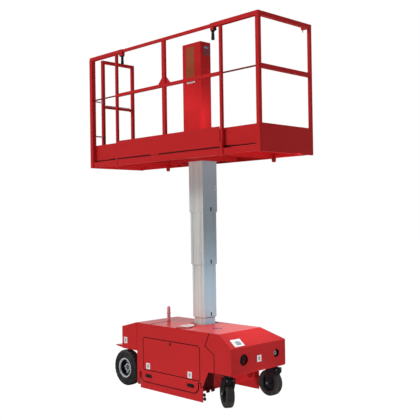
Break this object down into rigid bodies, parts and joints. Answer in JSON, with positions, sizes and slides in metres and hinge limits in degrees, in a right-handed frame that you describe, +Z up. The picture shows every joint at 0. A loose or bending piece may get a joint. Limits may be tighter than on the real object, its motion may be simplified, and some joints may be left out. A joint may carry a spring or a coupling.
{
  "type": "vertical mast lift",
  "caption": "Self-propelled vertical mast lift: low chassis on driven wheels and castors, telescopic mast and a guarded platform with slide-out decks and an entry portal.",
  "frame": {"origin": "on the floor, below the middle of the platform", "axes": "+Z up, +X towards the castor end, -Y towards the long side with the guardrail"},
  "size_m": [2.46, 0.76, 3.471],
  "materials": {
    "red_paint": "gloss",
    "aluminium": "satin",
    "black_rubber": "matt",
    "black_paint": "satin",
    "zinc_steel": "satin"
  },
  "bodies": {
    "chassis": {"chassis_frame": "red_paint", "front_hood": "red_paint", "rear_cover": "red_paint", "side_panel_near": "red_paint", "side_panel_far": "red_paint", "battery_pack": "black_paint", "power_unit": "black_paint", "mast_base": "aluminium", "drive_axle": "black_paint", "rear_knob": "red_paint", "rear_step": "red_paint"},
    "door_near": {"side_door_near": "red_paint"},
    "door_far": {"side_door_far": "red_paint"},
    "guard_near": {"ground_guard_near": "red_paint"},
    "guard_far": {"ground_guard_far": "red_paint"},
    "drive_wheel_near": {"drive_rim_near": "zinc_steel", "drive_tyre_near": "black_rubber"},
    "drive_wheel_far": {"drive_rim_far": "zinc_steel", "drive_tyre_far": "black_rubber"},
    "castor_near": {"castor_fork_near": "black_paint"},
    "castor_far": {"castor_fork_far": "black_paint"},
    "castor_wheel_near": {"castor_rim_near": "black_paint", "castor_tyre_near": "black_rubber"},
    "castor_wheel_far": {"castor_rim_far": "black_paint", "castor_tyre_far": "black_rubber"},
    "mast_lower": {"mast_lower": "aluminium"},
    "mast_upper": {"mast_upper": "aluminium"},
    "platform": {"mast_outer": "aluminium", "platform_frame": "red_paint", "platform_floor": "red_paint", "toe_board_near": "red_paint", "toe_board_far": "red_paint", "guardrail_near": "red_paint", "control_column": "red_paint", "mast_head_cover": "red_paint"},
    "deck_right": {"deck_floor_right": "red_paint", "deck_rails_right": "red_paint", "lock_grip_right": "black_paint"},
    "deck_left": {"deck_floor_left": "red_paint", "deck_rails_left": "red_paint", "lock_grip_left": "black_paint", "entry_portal": "red_paint"},
    "entry_bar": {"entry_bar": "red_paint"}
  },
  "joints": [
    {"name": "door_near_hinge", "type": "hinge", "parent": "chassis", "child": "door_near", "pos_m": [0.0455, -0.3725, 0.213], "axis": [1, 0, 0], "range_deg": [0, 90]},
    {"name": "door_far_hinge", "type": "hinge", "parent": "chassis", "child": "door_far", "pos_m": [0.0455, 0.3725, 0.213], "axis": [-1, 0, 0], "range_deg": [0, 90]},
    {"name": "guard_near_lift", "type": "slide", "parent": "chassis", "child": "guard_near", "axis": [0, 0, 1], "range_m": [0, 0.07]},
    {"name": "guard_far_lift", "type": "slide", "parent": "chassis", "child": "guard_far", "axis": [0, 0, 1], "range_m": [0, 0.07]},
    {"name": "drive_wheel_near_spin", "type": "hinge", "parent": "chassis", "child": "drive_wheel_near", "pos_m": [-0.66, -0.33, 0.182], "axis": [0, 1, 0], "continuous": true},
    {"name": "drive_wheel_far_spin", "type": "hinge", "parent": "chassis", "child": "drive_wheel_far", "pos_m": [-0.66, 0.33, 0.182], "axis": [0, 1, 0], "continuous": true},
    {"name": "castor_near_swivel", "type": "hinge", "parent": "chassis", "child": "castor_near", "pos_m": [0.76, -0.312, 0.304], "axis": [0, 0, 1], "continuous": true},
    {"name": "castor_far_swivel", "type": "hinge", "parent": "chassis", "child": "castor_far", "pos_m": [0.76, 0.312, 0.304], "axis": [0, 0, 1], "continuous": true},
    {"name": "castor_wheel_near_spin", "type": "hinge", "parent": "castor_near", "child": "castor_wheel_near", "pos_m": [0.72064, -0.29018, 0.125], "axis": [0.4848, 0.8746, 0], "continuous": true},
    {"name": "castor_wheel_far_spin", "type": "hinge", "parent": "castor_far", "child": "castor_wheel_far", "pos_m": [0.715, 0.312, 0.125], "axis": [0, 1, 0], "continuous": true},
    {"name": "mast_lower_lift", "type": "slide", "parent": "chassis", "child": "mast_lower", "axis": [0, 0, 1], "range_m": [-0.484, 0.15]},
    {"name": "mast_upper_lift", "type": "slide", "parent": "mast_lower", "child": "mast_upper", "axis": [0, 0, 1], "range_m": [-0.484, 0.15]},
    {"name": "platform_lift", "type": "slide", "parent": "mast_upper", "child": "platform", "axis": [0, 0, 1], "range_m": [-0.484, 0.15]},
    {"name": "deck_right_slide", "type": "slide", "parent": "platform", "child": "deck_right", "axis": [1, 0, 0], "range_m": [-0.385, 0]},
    {"name": "deck_left_slide", "type": "slide", "parent": "platform", "child": "deck_left", "axis": [1, 0, 0], "range_m": [0, 0.385]},
    {"name": "entry_bar_lift", "type": "slide", "parent": "deck_left", "child": "entry_bar", "axis": [0, 0, 1], "range_m": [0, 0.42]}
  ],
  "couplings": [
    {"joint": "mast_upper_lift", "follows": "mast_lower_lift", "ratio": 1},
    {"joint": "platform_lift", "follows": "mast_lower_lift", "ratio": 1}
  ]
}
